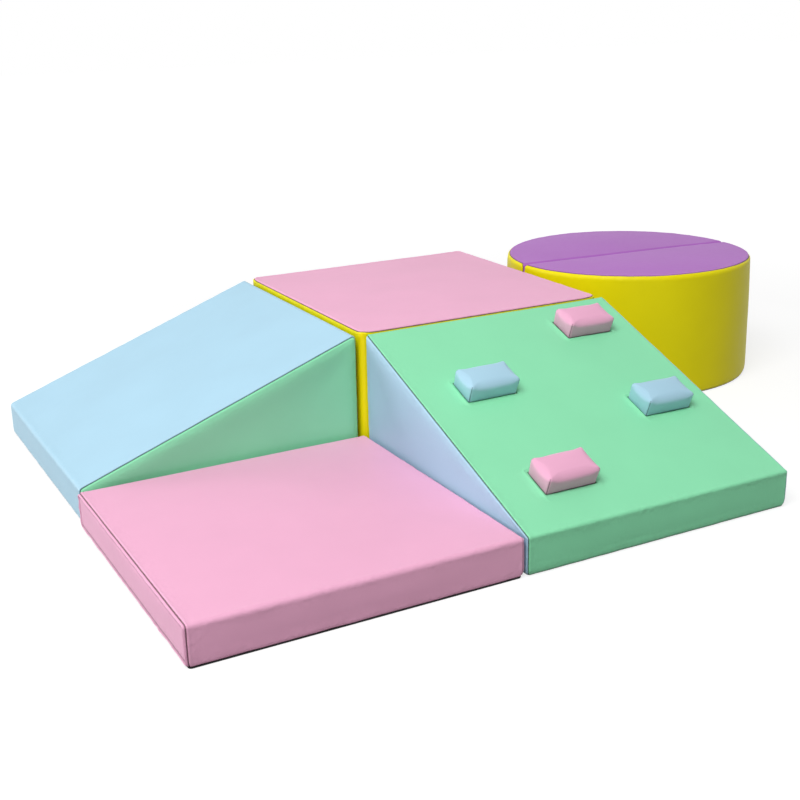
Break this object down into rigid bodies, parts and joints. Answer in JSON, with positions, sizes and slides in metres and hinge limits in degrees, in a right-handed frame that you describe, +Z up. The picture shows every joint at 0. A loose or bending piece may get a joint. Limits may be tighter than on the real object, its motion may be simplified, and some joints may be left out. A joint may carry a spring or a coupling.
{
  "type": "soft play foam climber",
  "caption": "Padded foam blocks for toddlers: a platform with a slide ramp, a climbing ramp with soft holds and a low mat round it, and a round block beside it.",
  "frame": {"origin": "on the floor, under the middle of the whole set's bounding box", "axes": "+X to the right along the length of the set, from the slide ramp's low end to the round block; +Y away, from the climbing ramp's low end to the platform block; +Z up"},
  "size_m": [1.919, 1.2906, 0.3123],
  "materials": {
    "foam": "matte",
    "pink_cover": "satin",
    "yellow_cover": "satin",
    "light_blue_cover": "satin",
    "mint_green_cover": "satin",
    "purple_cover": "satin",
    "base": "matte",
    "zip": "matte",
    "zip_slider": "satin",
    "hook_strip": "matte",
    "loop_strip": "matte"
  },
  "bodies": {
    "platform_block": {"platform_block_foam": "foam", "platform_block_top_panel": "pink_cover", "platform_block_boxing": "yellow_cover", "platform_block_back_panel": "yellow_cover", "platform_block_base": "base", "platform_block_zip": "zip", "platform_block_left_loop_strip": "loop_strip", "platform_block_front_loop_strip": "loop_strip"},
    "platform_block_zip_pull": {"platform_block_zip_slider": "zip_slider"},
    "slide_ramp": {"slide_ramp_foam": "foam", "slide_ramp_wrap": "light_blue_cover", "slide_ramp_near_side_panel": "mint_green_cover", "slide_ramp_far_side_panel": "mint_green_cover", "slide_ramp_base": "base", "slide_ramp_zip": "zip", "slide_ramp_hook_strip": "hook_strip"},
    "slide_ramp_zip_pull": {"slide_ramp_zip_slider": "zip_slider"},
    "climbing_ramp": {"climbing_ramp_foam": "foam", "climbing_ramp_wrap": "mint_green_cover", "climbing_ramp_left_side_panel": "light_blue_cover", "climbing_ramp_right_side_panel": "light_blue_cover", "climbing_ramp_base": "base", "climbing_ramp_zip": "zip", "climbing_ramp_hook_strip": "hook_strip", "climbing_ramp_loop_strip": "loop_strip", "hold_upper_right_cover": "pink_cover", "hold_upper_right_foam": "foam", "hold_upper_left_cover": "light_blue_cover", "hold_upper_left_foam": "foam", "hold_lower_right_cover": "light_blue_cover", "hold_lower_right_foam": "foam", "hold_lower_left_cover": "pink_cover", "hold_lower_left_foam": "foam"},
    "climbing_ramp_zip_pull": {"climbing_ramp_zip_slider": "zip_slider"},
    "corner_mat": {"corner_mat_foam": "foam", "corner_mat_wrap": "pink_cover", "corner_mat_left_side_panel": "pink_cover", "corner_mat_right_side_panel": "pink_cover", "corner_mat_base": "base", "corner_mat_zip": "zip", "corner_mat_hook_strip": "hook_strip"},
    "corner_mat_zip_pull": {"corner_mat_zip_slider": "zip_slider"},
    "back_half_round": {"back_half_round_foam": "foam", "back_half_round_wrap": "purple_cover", "back_half_round_boxing": "yellow_cover", "back_half_round_base": "base", "back_half_round_zip": "zip", "back_half_round_loop_strip": "loop_strip"},
    "back_half_round_zip_pull": {"back_half_round_zip_slider": "zip_slider"},
    "front_half_round": {"front_half_round_foam": "foam", "front_half_round_wrap": "purple_cover", "front_half_round_boxing": "yellow_cover", "front_half_round_base": "base", "front_half_round_zip": "zip", "front_half_round_hook_strip": "hook_strip"},
    "front_half_round_zip_pull": {"front_half_round_zip_slider": "zip_slider"}
  },
  "joints": [
    {"name": "slide_ramp_pulls_away", "type": "slide", "parent": "platform_block", "child": "slide_ramp", "axis": [-1, 0, 0], "range_m": [0, 0.65]},
    {"name": "climbing_ramp_pulls_away", "type": "slide", "parent": "platform_block", "child": "climbing_ramp", "axis": [0, -1, 0], "range_m": [0, 0.65]},
    {"name": "corner_mat_pulls_away", "type": "slide", "parent": "platform_block", "child": "corner_mat", "axis": [-0.7071, -0.7071, 0], "range_m": [0, 0.9]},
    {"name": "back_half_round_pulls_away", "type": "slide", "parent": "platform_block", "child": "back_half_round", "axis": [0.7071, 0.7071, 0], "range_m": [0, 0.5]},
    {"name": "front_half_round_pulls_away", "type": "slide", "parent": "platform_block", "child": "front_half_round", "axis": [0.7071, -0.7071, 0], "range_m": [0, 0.5]},
    {"name": "platform_block_zip_runs", "type": "slide", "parent": "platform_block", "child": "platform_block_zip_pull", "axis": [1, 0, 0], "range_m": [0, 0.504]},
    {"name": "slide_ramp_zip_runs", "type": "slide", "parent": "slide_ramp", "child": "slide_ramp_zip_pull", "axis": [-1, 0, 0], "range_m": [0, 0.503]},
    {"name": "climbing_ramp_zip_runs", "type": "slide", "parent": "climbing_ramp", "child": "climbing_ramp_zip_pull", "axis": [0, -1, 0], "range_m": [0, 0.503]},
    {"name": "corner_mat_zip_runs", "type": "slide", "parent": "corner_mat", "child": "corner_mat_zip_pull", "axis": [0, -1, 0], "range_m": [0, 0.509]},
    {"name": "back_half_round_zip_runs", "type": "slide", "parent": "back_half_round", "child": "back_half_round_zip_pull", "axis": [-0.9965, 0.0837, 0], "range_m": [0, 0.5238]},
    {"name": "front_half_round_zip_runs", "type": "slide", "parent": "front_half_round", "child": "front_half_round_zip_pull", "axis": [0.9965, -0.0837, 0], "range_m": [0, 0.5238]}
  ]
}
